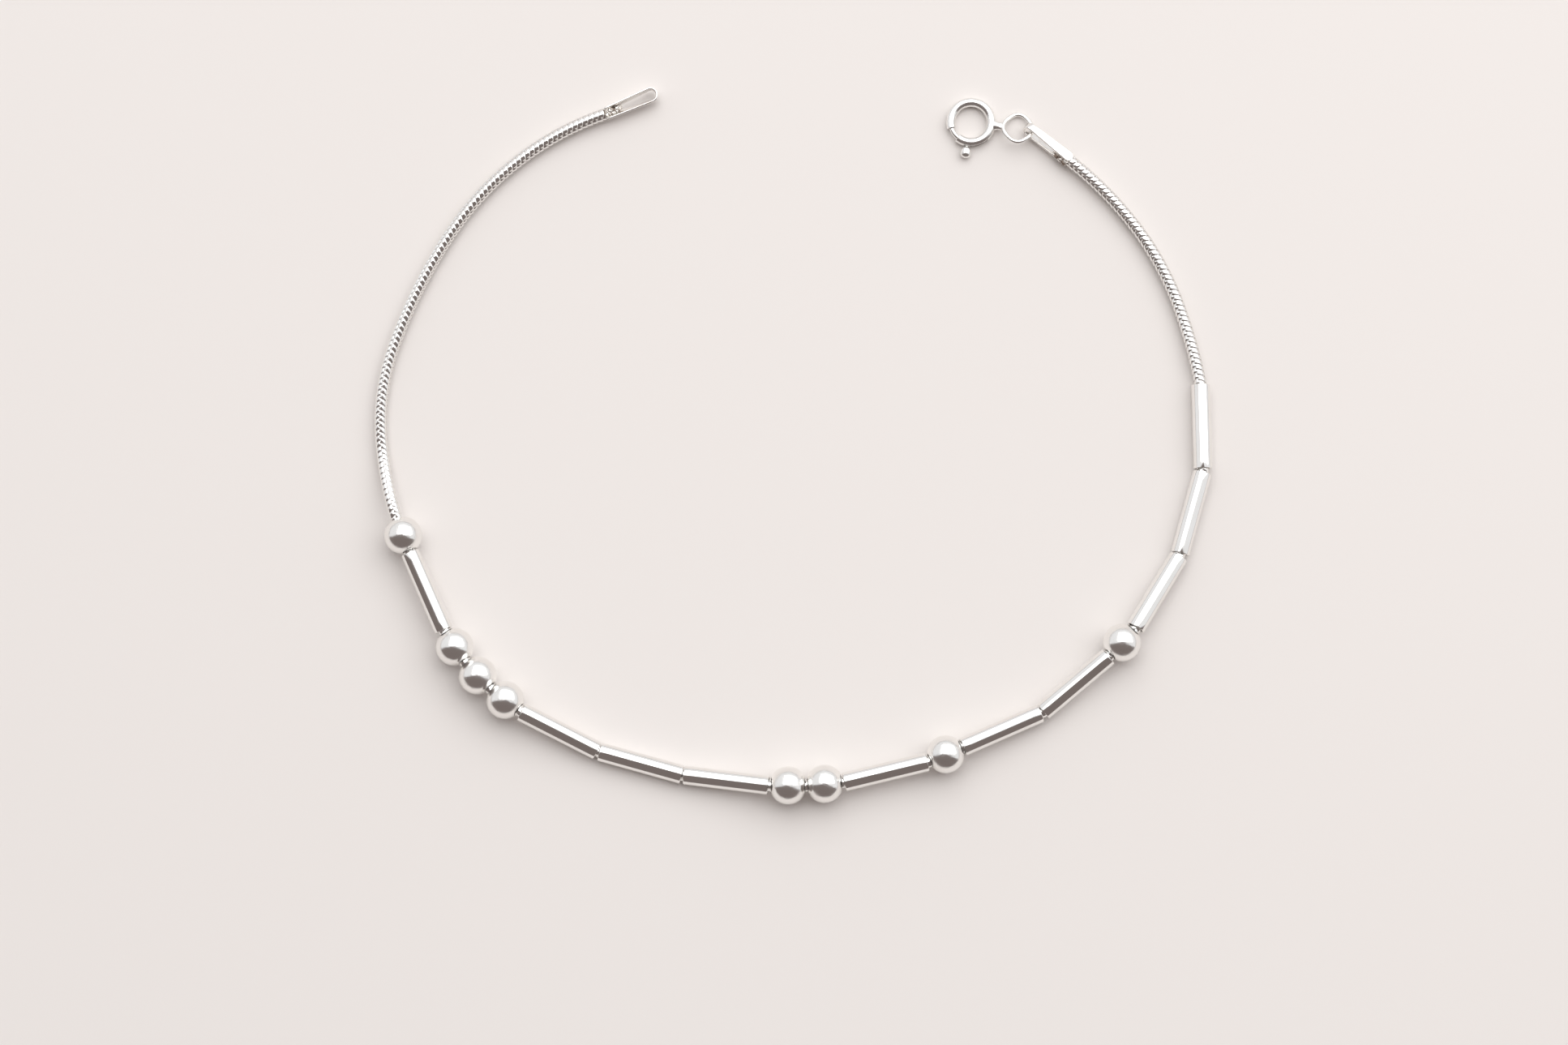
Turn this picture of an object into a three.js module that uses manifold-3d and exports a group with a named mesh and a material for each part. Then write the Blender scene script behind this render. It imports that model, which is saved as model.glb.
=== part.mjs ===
// Morse code bracelet lying open: round beads and tube beads threaded on a snake chain.
// A folded strip tag is soldered on each end of the chain, and one carries a spring-ring clasp.
import * as THREE from 'three';
import { mergeVertices } from 'three/addons/utils/BufferGeometryUtils.js';
import Module from 'manifold-3d';

const wasm = await Module();
wasm.setup();

// Beads, in millimetres
const BEAD_DIAMETER = 3.0;
const TUBE_DIAMETER = 1.5;
const TUBE_LENGTH = 6.75;
const TUBE_RIM_ROUNDING = 0.06;
const BORE_DIAMETER = 1.2;
const PLAY = 0.07;

// Snake chain: links of four columns of slanted plates
const CHAIN_DIAMETER = 1.05;
const GROOVE_DEPTH = 0.07;
const LINK_PITCH = 0.45;
const PLATE_SLANT = 0.14;
const CHAIN_TWIST_PER_MM = 1.5;

// End tags: a flat strip folded into a hairpin, closed on a solder plug at the chain
const TAG_LENGTH = 4.6;
const TAG_STRIP_WIDTH = 0.75;
const TAG_STRIP_THICKNESS = 0.17;
const TAG_BEND_WIDTH = 1.0;
const TAG_MOUTH_WIDTH = 0.75;
const PLUG_DIAMETER = 0.56;
const PLUG_LENGTH = 1.3;
const LOOP_TAG_ROLL = 40;
const CLASP_TAG_ROLL = -50;

// Spring-ring clasp: a hollow open ring, a sliding bolt with a thumb knob, and a soldered eye
const RING_DIAMETER = 4.0;
const RING_TUBE = 0.74;
const RING_BORE = 0.54;
const BOLT_DIAMETER = 0.38;
const MOUTH_FROM = 25;
const MOUTH_TO = 58;
const BOLT_FROM = 20;
const BOLT_TO = 128;
const KNOB_ANGLE = 88;
const OPENING_ANGLE = 48;
const KNOB_SIZE = { radial: 0.88, across: 0.8, height: 0.7 };
const KNOB_GAP = 0.06;
const KNOB_PIN_DIAMETER = 0.28;
const KNOB_SLOT_PLAY = 0.07;
const EYE_DIAMETER = 2.36;
const EYE_STRETCH = 1.12;
const EYE_WIRE = 0.33;
const EYE_TILT = 20;
const EYE_IN_TAG = 0.46;
const NECK_GAP = 0.53;
const NECK_DIAMETER = 0.62;
const CLASP_TURN = 30;

// Sides of the round sections
const BEAD_SIDES = 16;
const BEAD_ARC_STEPS = 8;
const TUBE_SIDES = 12;
const CHAIN_SIDES = 12;
const RING_SIDES = 10;
const RING_STEP = 11;
const WIRE_SIDES = 8;
const EYE_STEPS = 20;
const TAG_BEND_STEPS = 10;
const SLOT_STEPS = 8;
const KNOB_SIDES = 12;
const KNOB_RINGS = 8;

// Heights of the chain's axis above the surface where its pieces lie on it or sag between beads
const BEAD_AXIS = (BEAD_DIAMETER / 2) * Math.cos(Math.PI / BEAD_SIDES);
const TUBE_AXIS = (TUBE_DIAMETER / 2) * Math.cos(Math.PI / TUBE_SIDES);
const SAG_AXIS = 0.86;
const CHAIN_AXIS = CHAIN_DIAMETER / 2;
const TAG_AXIS = 0.66;

// Free chain stretches: length along the chain, turn to the left, height of the axis at the end
const LOOP_END_HEADING = -161;
const LOOP_STRETCH = [
  { length: 7, turn: 17, height: CHAIN_AXIS },
  { length: 9, turn: 21, height: CHAIN_AXIS },
  { length: 10, turn: 14, height: CHAIN_AXIS },
  { length: 8, turn: 25, height: CHAIN_AXIS },
  { length: 6.3, turn: 13, height: BEAD_AXIS },
];
const CLASP_END_HEADING = 100;
const CLASP_STRETCH = [
  { length: 6.4, turn: 9, height: CHAIN_AXIS },
  { length: 8, turn: 19, height: CHAIN_AXIS },
  { length: 6.9, turn: 14, height: TAG_AXIS },
];

// The string from the loop end to the clasp end: heading of each piece, height of the axis where it ends
const STRING = [
  { kind: 'bead', heading: -68, height: BEAD_AXIS },
  { kind: 'tube', heading: -66, height: BEAD_AXIS },
  { kind: 'bead', heading: -56, height: BEAD_AXIS },
  { kind: 'bead', heading: -46, height: BEAD_AXIS },
  { kind: 'bead', heading: -37, height: BEAD_AXIS },
  { kind: 'tube', heading: -27, height: TUBE_AXIS },
  { kind: 'tube', heading: -15.5, height: TUBE_AXIS },
  { kind: 'tube', heading: -7, height: BEAD_AXIS },
  { kind: 'bead', heading: 0, height: BEAD_AXIS },
  { kind: 'bead', heading: 5, height: BEAD_AXIS },
  { kind: 'tube', heading: 13.5, height: BEAD_AXIS },
  { kind: 'bead', heading: 23, height: BEAD_AXIS },
  { kind: 'tube', heading: 23.5, height: SAG_AXIS },
  { kind: 'tube', heading: 40, height: BEAD_AXIS },
  { kind: 'bead', heading: 46, height: BEAD_AXIS },
  { kind: 'tube', heading: 58, height: TUBE_AXIS },
  { kind: 'tube', heading: 74, height: TUBE_AXIS },
  { kind: 'tube', heading: 91, height: TUBE_AXIS },
];

const { degToRad, lerp, smoothstep } = THREE.MathUtils;
const UP = new THREE.Vector3(0, 0, 1);

// Polished silver
const SILVER = { color: 0xeeebe6, roughness: 0.12, metalness: 1 };

function silver() {
  return new THREE.MeshStandardMaterial(SILVER);
}

function direction(heading, slope = 0) {
  const level = Math.cos(slope);
  return new THREE.Vector3(Math.cos(heading) * level, Math.sin(heading) * level, Math.sin(slope));
}

// Closed tube through stations of point, tangent, radius, twist and slant, with a flat cap at each end
function sweep(stations, sides) {
  const positions = [];
  const indices = [];
  for (const { point, tangent, radius, twist = 0, slant = 0 } of stations) {
    const side = new THREE.Vector3().crossVectors(UP, tangent).normalize();
    const top = new THREE.Vector3().crossVectors(tangent, side);
    for (let i = 0; i < sides; i += 1) {
      const angle = (2 * Math.PI * (i + 0.5)) / sides + twist;
      const columnPlace = ((4 * i) / sides) % 2;
      const shift = slant * (2 * Math.abs(columnPlace - 1) - 1);
      const vertex = point.clone();
      vertex.addScaledVector(side, radius * Math.cos(angle));
      vertex.addScaledVector(top, radius * Math.sin(angle));
      vertex.addScaledVector(tangent, shift);
      positions.push(vertex.x, vertex.y, vertex.z);
    }
  }
  for (let ring = 0; ring < stations.length - 1; ring += 1) {
    for (let i = 0; i < sides; i += 1) {
      const a = ring * sides + i;
      const b = ring * sides + ((i + 1) % sides);
      indices.push(a, b, b + sides, a, b + sides, a + sides);
    }
  }
  const last = (stations.length - 1) * sides;
  for (let i = 1; i < sides - 1; i += 1) {
    indices.push(0, i + 1, i, last, last + i, last + i + 1);
  }
  const geometry = new THREE.BufferGeometry();
  geometry.setAttribute('position', new THREE.Float32BufferAttribute(positions, 3));
  geometry.setIndex(indices);
  return geometry;
}

function toSolid(geometry) {
  const bare = geometry.clone();
  bare.deleteAttribute('normal');
  bare.deleteAttribute('uv');
  const merged = mergeVertices(bare);
  const vertProperties = new Float32Array(merged.attributes.position.array);
  const triVerts = new Uint32Array(merged.index.array);
  return new wasm.Manifold(new wasm.Mesh({ numProp: 3, vertProperties, triVerts }));
}

function fromSolid(solid) {
  const { vertProperties, triVerts } = solid.getMesh();
  const geometry = new THREE.BufferGeometry();
  geometry.setAttribute('position', new THREE.BufferAttribute(vertProperties, 3));
  geometry.setIndex(new THREE.BufferAttribute(triVerts, 1));
  geometry.computeVertexNormals();
  return geometry;
}

// Turned piece along X whose lowest facet lies level
function turned(profile, sides) {
  const geometry = new THREE.LatheGeometry(profile, sides, Math.PI / sides);
  return geometry.rotateZ(-Math.PI / 2);
}

function beadGeometry() {
  const radius = BEAD_DIAMETER / 2;
  const bore = BORE_DIAMETER / 2;
  const reach = Math.acos(bore / radius);
  const profile = [];
  for (let i = 0; i <= BEAD_ARC_STEPS; i += 1) {
    const angle = -reach + (2 * reach * i) / BEAD_ARC_STEPS;
    profile.push(new THREE.Vector2(radius * Math.cos(angle), radius * Math.sin(angle)));
  }
  profile.push(profile[0].clone());
  return turned(profile, BEAD_SIDES);
}

function tubeGeometry() {
  const radius = TUBE_DIAMETER / 2;
  const bore = BORE_DIAMETER / 2;
  const end = TUBE_LENGTH / 2;
  const rim = TUBE_RIM_ROUNDING;
  const profile = [
    new THREE.Vector2(bore, -end),
    new THREE.Vector2(radius - rim, -end),
    new THREE.Vector2(radius, rim - end),
    new THREE.Vector2(radius, end - rim),
    new THREE.Vector2(radius - rim, end),
    new THREE.Vector2(bore, end),
    new THREE.Vector2(bore, -end),
  ];
  return turned(profile, TUBE_SIDES);
}

// Each kind of piece: its length along the chain and the radius of the rim that meets its neighbour
const BEAD_LENGTH = Math.sqrt(BEAD_DIAMETER ** 2 - BORE_DIAMETER ** 2);
const PIECES = {
  bead: { length: BEAD_LENGTH, rim: BORE_DIAMETER / 2, make: beadGeometry },
  tube: { length: TUBE_LENGTH, rim: TUBE_DIAMETER / 2, make: tubeGeometry },
};

// Room that two tilted rims need between them, with a little play
function gapBetween(before, after) {
  const turn = Math.abs(degToRad(after.heading - before.heading));
  return (PIECES[before.kind].rim + PIECES[after.kind].rim) * Math.tan(turn / 2) + PLAY;
}

const bracelet = new THREE.Group();
const chainStations = [];
const cursor = new THREE.Vector3(0, 0, TAG_AXIS);
let chainRun = 0;

function addStation(tangent, radius, slant) {
  const twist = degToRad(chainRun * CHAIN_TWIST_PER_MM);
  chainStations.push({ point: cursor.clone(), tangent, radius, twist, slant });
}

function addPlug(heading, from, to) {
  const along = direction(heading);
  for (const distance of [from, to]) {
    const point = cursor.clone().addScaledVector(along, distance);
    chainStations.push({ point, tangent: along, radius: PLUG_DIAMETER / 2 });
  }
}

// Free chain in arcs, two rings to a link: a plate's crown and the groove after it
function addStretch(stretch, startHeading) {
  let heading = degToRad(startHeading);
  for (const arc of stretch) {
    const steps = 2 * Math.round(arc.length / LINK_PITCH);
    const startHeight = cursor.z;
    const stepLength = arc.length / steps;
    const stepTurn = degToRad(arc.turn) / steps;
    for (let i = 0; i < steps; i += 1) {
      const radius = CHAIN_DIAMETER / 2 - (i % 2) * GROOVE_DEPTH;
      addStation(direction(heading), radius, PLATE_SLANT);
      heading += stepTurn;
      cursor.addScaledVector(direction(heading - stepTurn / 2), stepLength);
      cursor.z = lerp(startHeight, arc.height, smoothstep(i + 1, 0, steps));
      chainRun += stepLength;
    }
  }
  return heading;
}

function addPiece(row, gapBefore, gapAfter, name) {
  const piece = PIECES[row.kind];
  const run = gapBefore / 2 + piece.length + gapAfter / 2;
  const slope = Math.asin((row.height - cursor.z) / run);
  const along = direction(degToRad(row.heading), slope);
  const mesh = new THREE.Mesh(piece.make(), silver());
  mesh.name = name;
  mesh.position.copy(cursor).addScaledVector(along, gapBefore / 2 + piece.length / 2);
  mesh.rotation.set(0, -slope, degToRad(row.heading), 'ZYX');
  bracelet.add(mesh);
  cursor.addScaledVector(along, run);
  chainRun += run;
  return along;
}

// Hairpin of strip along X: two legs from the chain's end that spread to a round bend
function tagGeometry(roll) {
  const bendRadius = (TAG_BEND_WIDTH - TAG_STRIP_THICKNESS) / 2;
  const mouth = (TAG_MOUTH_WIDTH - TAG_STRIP_THICKNESS) / 2;
  const centre = TAG_LENGTH - TAG_BEND_WIDTH / 2;
  const spread = Math.asin((bendRadius - mouth) / centre);
  const turn = Math.PI / 2 + spread;
  const outer = bendRadius + TAG_STRIP_THICKNESS / 2;
  const inner = bendRadius - TAG_STRIP_THICKNESS / 2;
  const outline = new THREE.Shape();
  outline.moveTo(0, -mouth - TAG_STRIP_THICKNESS / 2);
  outline.absarc(centre, 0, outer, -turn, turn, false);
  outline.lineTo(0, mouth + TAG_STRIP_THICKNESS / 2);
  outline.lineTo(0, mouth - TAG_STRIP_THICKNESS / 2);
  outline.absarc(centre, 0, inner, turn, -turn, true);
  outline.lineTo(0, -mouth + TAG_STRIP_THICKNESS / 2);
  const extrusion = { depth: TAG_STRIP_WIDTH, bevelEnabled: false, curveSegments: TAG_BEND_STEPS };
  const strip = new THREE.ExtrudeGeometry(outline, extrusion);
  strip.translate(0, 0, -TAG_STRIP_WIDTH / 2);
  return strip.rotateX(degToRad(roll));
}

function placedTag(roll, heading, point) {
  const tag = tagGeometry(roll);
  tag.rotateZ(heading);
  return tag.translate(point.x, point.y, point.z);
}

// Straight round bar along X
function straightBar(fromX, toX, barRadius) {
  const stations = [fromX, toX].map((x) => ({
    point: new THREE.Vector3(x, 0, 0),
    tangent: direction(0),
    radius: barRadius,
  }));
  return sweep(stations, WIRE_SIDES);
}

// The clasp lies along X, from where the tag holds the eye's wire to the ring
const EYE_RADIUS = (EYE_DIAMETER - EYE_WIRE) / 2;
const RING_RADIUS = (RING_DIAMETER - RING_TUBE) / 2;
const RING_CENTRE = EYE_RADIUS + EYE_DIAMETER / 2 + NECK_GAP + RING_DIAMETER / 2;
const RING_HEIGHT = RING_TUBE / 2;
const KNOB_CENTRE = RING_DIAMETER / 2 + KNOB_GAP + KNOB_SIZE.radial / 2;

// Round bar bent to part of the ring, between two angles
function arcBar(barRadius, from, to, sides) {
  const steps = Math.ceil((to - from) / RING_STEP);
  const stations = [];
  for (let i = 0; i <= steps; i += 1) {
    const angle = degToRad(from + ((to - from) * i) / steps);
    const point = direction(angle).multiplyScalar(RING_RADIUS);
    point.x += RING_CENTRE;
    stations.push({ point, tangent: direction(angle + Math.PI / 2), radius: barRadius });
  }
  return sweep(stations, sides);
}

// Room in the ring's outer wall for the knob's pin to slide in
function slotGeometry() {
  const reach = KNOB_PIN_DIAMETER / 2 + KNOB_SLOT_PLAY;
  const swing = reach / (RING_DIAMETER / 2);
  const from = degToRad(KNOB_ANGLE) - swing;
  const to = degToRad(KNOB_ANGLE + OPENING_ANGLE) + swing;
  const outline = new THREE.Shape();
  outline.absarc(RING_CENTRE, 0, RING_DIAMETER / 2 + KNOB_GAP, from, to, false);
  outline.absarc(RING_CENTRE, 0, RING_RADIUS, to, from, true);
  const extrusion = { depth: 2 * reach, bevelEnabled: false, curveSegments: SLOT_STEPS };
  const slot = new THREE.ExtrudeGeometry(outline, extrusion);
  return slot.translate(0, 0, -reach);
}

// The bore is cut past both sides of the mouth, so that it opens there
function claspRingGeometry() {
  const overrun = 4;
  const from = MOUTH_TO;
  const to = MOUTH_FROM + 360;
  const tube = arcBar(RING_TUBE / 2, from, to, RING_SIDES);
  const bore = arcBar(RING_BORE / 2, from - overrun, to + overrun, WIRE_SIDES);
  const eye = new THREE.TorusGeometry(EYE_RADIUS, EYE_WIRE / 2, WIRE_SIDES, EYE_STEPS);
  eye.scale(1, EYE_STRETCH, 1);
  eye.rotateX(degToRad(EYE_TILT));
  eye.translate(EYE_RADIUS, 0, TAG_AXIS - RING_HEIGHT);
  const neckFrom = 2 * EYE_RADIUS - EYE_WIRE / 4;
  const neck = straightBar(neckFrom, RING_CENTRE - RING_RADIUS, NECK_DIAMETER / 2);
  neck.translate(0, 0, (TAG_AXIS - RING_HEIGHT) / 2);
  const joined = toSolid(tube).add(toSolid(neck)).add(toSolid(eye));
  return fromSolid(joined.subtract(toSolid(bore)).subtract(toSolid(slotGeometry())));
}

function claspBoltGeometry() {
  const bolt = arcBar(BOLT_DIAMETER / 2, BOLT_FROM, BOLT_TO, WIRE_SIDES);
  const pin = straightBar(RING_RADIUS, KNOB_CENTRE, KNOB_PIN_DIAMETER / 2);
  const knob = new THREE.SphereGeometry(1, KNOB_SIDES, KNOB_RINGS);
  knob.scale(KNOB_SIZE.radial / 2, KNOB_SIZE.across / 2, KNOB_SIZE.height / 2);
  knob.translate(KNOB_CENTRE, 0, 0);
  for (const piece of [pin, knob]) {
    piece.rotateZ(degToRad(KNOB_ANGLE));
    piece.translate(RING_CENTRE, 0, 0);
  }
  return fromSolid(toSolid(bolt).add(toSolid(pin)).add(toSolid(knob)));
}

// Loop end: solder plug inside the tag, then the free chain up to the first bead
const loopHeading = degToRad(LOOP_END_HEADING);
addPlug(loopHeading, -PLUG_LENGTH, -LINK_PITCH / 2);
const loopTag = placedTag(LOOP_TAG_ROLL, loopHeading + Math.PI, cursor);
addStretch(LOOP_STRETCH, LOOP_END_HEADING);

// String of beads, with the chain turning between one piece and the next
const count = { bead: 0, tube: 0 };
const stringTwist = chainStations.at(-1).twist;
let lastAlong = direction(degToRad(STRING[0].heading));
STRING.forEach((row, i) => {
  const before = i > 0 ? gapBetween(STRING[i - 1], row) : PLAY;
  const after = i < STRING.length - 1 ? gapBetween(row, STRING[i + 1]) : PLAY;
  const point = cursor.clone();
  count[row.kind] += 1;
  const along = addPiece(row, before, after, `${row.kind}_${count[row.kind]}`);
  const tangent = lastAlong.clone().add(along).normalize();
  chainStations.push({ point, tangent, radius: CHAIN_DIAMETER / 2, twist: stringTwist });
  lastAlong = along;
});

// Clasp end: the free chain, its solder plug and the tag that holds the clasp's eye
const claspHeading = addStretch(CLASP_STRETCH, CLASP_END_HEADING);
addStation(direction(claspHeading), CHAIN_DIAMETER / 2, 0);
addPlug(claspHeading, LINK_PITCH / 2, PLUG_LENGTH);
const claspTag = placedTag(CLASP_TAG_ROLL, claspHeading, cursor);

const chainSolid = toSolid(sweep(chainStations, CHAIN_SIDES));
const solderedChain = chainSolid.add(toSolid(loopTag)).add(toSolid(claspTag));
const chain = new THREE.Mesh(fromSolid(solderedChain), silver());
chain.name = 'chain';
bracelet.add(chain);

const clasp = new THREE.Group();
clasp.position.copy(cursor).addScaledVector(direction(claspHeading), TAG_LENGTH - EYE_IN_TAG);
clasp.position.z = RING_HEIGHT;
clasp.rotation.z = claspHeading + degToRad(CLASP_TURN);
const claspRing = new THREE.Mesh(claspRingGeometry(), silver());
claspRing.name = 'clasp_ring';
const claspBolt = new THREE.Mesh(claspBoltGeometry(), silver());
claspBolt.name = 'clasp_bolt';
clasp.add(claspRing, claspBolt);
bracelet.add(clasp);

// Origin under the middle of the whole bracelet, on the surface it lies on
bracelet.updateMatrixWorld(true);
const box = new THREE.Box3().setFromObject(bracelet, true);
const middle = box.getCenter(new THREE.Vector3());
bracelet.position.set(-middle.x, -middle.y, -box.min.z);

export default bracelet;
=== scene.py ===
import math

import bmesh
import bpy
import numpy as np
from mathutils import Matrix, Vector, noise


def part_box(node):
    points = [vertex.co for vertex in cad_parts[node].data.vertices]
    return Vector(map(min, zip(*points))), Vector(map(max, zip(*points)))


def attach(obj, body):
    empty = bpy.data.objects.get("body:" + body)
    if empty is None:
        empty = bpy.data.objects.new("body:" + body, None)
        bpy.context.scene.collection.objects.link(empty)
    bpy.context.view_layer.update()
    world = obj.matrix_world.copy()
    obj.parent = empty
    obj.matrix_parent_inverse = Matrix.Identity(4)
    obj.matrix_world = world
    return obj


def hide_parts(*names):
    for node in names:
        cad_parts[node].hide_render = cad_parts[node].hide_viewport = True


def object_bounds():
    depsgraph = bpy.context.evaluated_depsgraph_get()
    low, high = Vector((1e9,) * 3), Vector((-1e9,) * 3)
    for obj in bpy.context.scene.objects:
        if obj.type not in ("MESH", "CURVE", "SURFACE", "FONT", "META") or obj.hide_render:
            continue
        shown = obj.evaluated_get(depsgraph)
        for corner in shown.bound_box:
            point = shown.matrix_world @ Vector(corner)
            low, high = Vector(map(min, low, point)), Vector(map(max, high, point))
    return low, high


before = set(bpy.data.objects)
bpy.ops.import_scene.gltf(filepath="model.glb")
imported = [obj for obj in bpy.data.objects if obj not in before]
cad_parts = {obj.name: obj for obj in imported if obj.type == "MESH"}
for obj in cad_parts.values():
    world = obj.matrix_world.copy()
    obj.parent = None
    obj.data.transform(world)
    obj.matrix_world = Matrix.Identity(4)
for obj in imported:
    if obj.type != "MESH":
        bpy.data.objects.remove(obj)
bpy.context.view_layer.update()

# Snake chain: a supple silver rope of small pressed plates, hooked into each other in four columns
# that lean to and fro. It runs from one soldered tag, through every bead, to the other, and twists a
# little on the way. Sizes are in millimetres and angles in degrees.
MM = 0.001
UP = np.array((0.0, 0.0, 1.0))
CHAIN_DIAMETER = 1.05
LINK_PITCH = 0.45
COLUMNS = 4
PLATE_LEAN = 0.32
COLUMN_STAGGER = 0.5
PLATE_LAP = 0.045
GROOVE_DEPTH = 0.085
PLATE_FLATNESS = 3.5
COLUMN_FLATNESS = 4
COLUMN_DIP = 0.7
CHAIN_TURN = 49
CHAIN_TWIST_PER_MM = -1.2
BEAD_DIAMETER = 3.0
TUBE_DIAMETER = 1.5
TUBE_LENGTH = 6.75
BORE_DIAMETER = 1.2
PLAY = 0.07
PIECE_LENGTH = {"bead": math.sqrt(BEAD_DIAMETER ** 2 - BORE_DIAMETER ** 2), "tube": TUBE_LENGTH}
PIECE_RIM = {"bead": BORE_DIAMETER / 2, "tube": TUBE_DIAMETER / 2}


def middle(node):
    low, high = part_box(node)
    return np.array((low + high) / 2) / MM


BEAD_AXIS = middle("bead_1")[2]
TUBE_AXIS = middle("tube_3")[2]
SAG_AXIS = 0.86
CHAIN_AXIS = CHAIN_DIAMETER / 2
TAG_AXIS = 0.66
LOOP_END_HEADING = -161
LOOP_STRETCH = (
    # length, turn to the left, height of the axis at the end
    (7.0, 17, CHAIN_AXIS),
    (9.0, 21, CHAIN_AXIS),
    (10.0, 14, CHAIN_AXIS),
    (8.0, 25, CHAIN_AXIS),
    (6.3, 13, BEAD_AXIS),
)
CLASP_END_HEADING = 100
CLASP_STRETCH = (
    # length, turn to the left, height of the axis at the end
    (6.4, 9, CHAIN_AXIS),
    (8.0, 19, CHAIN_AXIS),
    (6.9, 14, TAG_AXIS),
)
STRING = (
    # kind, heading, height of the axis where the piece ends
    ("bead", -68, BEAD_AXIS),
    ("tube", -66, BEAD_AXIS),
    ("bead", -56, BEAD_AXIS),
    ("bead", -46, BEAD_AXIS),
    ("bead", -37, BEAD_AXIS),
    ("tube", -27, TUBE_AXIS),
    ("tube", -15.5, TUBE_AXIS),
    ("tube", -7, BEAD_AXIS),
    ("bead", 0, BEAD_AXIS),
    ("bead", 5, BEAD_AXIS),
    ("tube", 13.5, BEAD_AXIS),
    ("bead", 23, BEAD_AXIS),
    ("tube", 23.5, SAG_AXIS),
    ("tube", 40, BEAD_AXIS),
    ("bead", 46, BEAD_AXIS),
    ("tube", 58, TUBE_AXIS),
    ("tube", 74, TUBE_AXIS),
    ("tube", 91, TUBE_AXIS),
)


def direction(heading, slope=0.0):
    level = math.cos(slope)
    return np.array((math.cos(heading) * level, math.sin(heading) * level, math.sin(slope)))


def free_chain(start, heading, stretch):
    """Points of a bowed stretch of chain, and its heading at the end."""
    points = [start]
    for length, turn, height in stretch:
        steps = 2 * round(length / LINK_PITCH)
        half_turn = math.radians(turn) / steps / 2
        low = points[-1][2]
        for step in range(1, steps + 1):
            point = points[-1] + direction(heading + half_turn) * length / steps
            share = step / steps
            point[2] = low + (height - low) * share * share * (3 - 2 * share)
            points.append(point)
            heading += 2 * half_turn
    return points, heading


def gap_after(place):
    """Room between a piece on the string and the one after it, so that their tilted rims clear."""
    if place < 0 or place == len(STRING) - 1:
        return PLAY
    (kind, heading, _), (next_kind, next_heading, _) = STRING[place:place + 2]
    turn = math.radians(abs(next_heading - heading))
    return (PIECE_RIM[kind] + PIECE_RIM[next_kind]) * math.tan(turn / 2) + PLAY


def thread_string(start):
    """Points where each piece meets the next, and every piece's centre, heading and slope by name."""
    points = [start]
    seats = {}
    for place, (kind, heading, height) in enumerate(STRING):
        lead = gap_after(place - 1) / 2
        run = lead + PIECE_LENGTH[kind] + gap_after(place) / 2
        slope = math.asin((height - points[-1][2]) / run)
        along = direction(math.radians(heading), slope)
        number = 1 + sum(name.startswith(kind) for name in seats)
        centre = points[-1] + along * (lead + PIECE_LENGTH[kind] / 2)
        seats[f"{kind}_{number}"] = (centre, math.radians(heading), slope)
        points.append(points[-1] + along * run)
    return points, seats


def run_along(points):
    steps = np.linalg.norm(np.diff(points, axis=0), axis=1)
    return np.concatenate(([0.0], np.cumsum(steps)))


def points_at(distances, points):
    """Points of a line at these distances from its start."""
    run = run_along(points)
    return np.stack([np.interp(distances, run, points[:, axis]) for axis in range(3)], axis=1)


def rounded_corners(points, reach):
    """A line with each point averaged with its neighbours, whose two ends stay."""
    before = 2 * points[0] - points[reach:0:-1]
    after = 2 * points[-1] - points[-2:-reach - 2:-1]
    padded = np.concatenate((before, points, after))
    share = np.ones(2 * reach + 1) / (2 * reach + 1)
    return np.stack([np.convolve(padded[:, axis], share, "valid") for axis in range(3)], axis=1)


loop_heading = math.radians(LOOP_END_HEADING)
loop_points, _ = free_chain(np.array((0.0, 0.0, TAG_AXIS)), loop_heading, LOOP_STRETCH)
string_points, seats = thread_string(loop_points[-1])
clasp_points, clasp_heading = free_chain(
    string_points[-1], math.radians(CLASP_END_HEADING), CLASP_STRETCH
)
shift = middle("bead_1") - seats["bead_1"][0]
corners = np.array(loop_points[:-1] + string_points[:-1] + clasp_points) + shift
ROUTE_STEP = 0.05
CORNER_REACH = 7
chain_length = run_along(corners)[-1]
route = points_at(np.arange(0, chain_length, ROUTE_STEP), corners)
route = rounded_corners(route, CORNER_REACH)
loop_end = route[0]
clasp_end = route[-1]
SHARP_EDGE = 35
ROUND_EDGE = 60
SOFT_EDGE = 80


def skin(rings, sides, closed=False):
    """Faces over a stack of rings of points. An open stack gets an end cap at each end."""
    faces = []
    for ring in range(rings if closed else rings - 1):
        low = ring * sides
        high = (ring + 1) % rings * sides
        for side in range(sides):
            after = (side + 1) % sides
            faces.append((low + side, low + after, high + after, high + side))
    if not closed:
        last = (rings - 1) * sides
        faces.append(tuple(range(sides - 1, -1, -1)))
        faces.append(tuple(range(last, last + sides)))
    return faces


def make_piece(name, points, faces, material, crease=SHARP_EDGE):
    """A smooth-shaded mesh from points in millimetres, with its faces turned outwards."""
    mesh = bpy.data.meshes.new(name)
    mesh.from_pydata(np.reshape(points, (-1, 3)) * MM, [], faces)
    shell = bmesh.new()
    shell.from_mesh(mesh)
    bmesh.ops.recalc_face_normals(shell, faces=shell.faces)
    shell.to_mesh(mesh)
    shell.free()
    mesh.shade_smooth()
    mesh.set_sharp_from_angle(angle=math.radians(crease))
    mesh.materials.append(material)
    piece = bpy.data.objects.new(name, mesh)
    bpy.context.scene.collection.objects.link(piece)
    return piece


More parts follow.
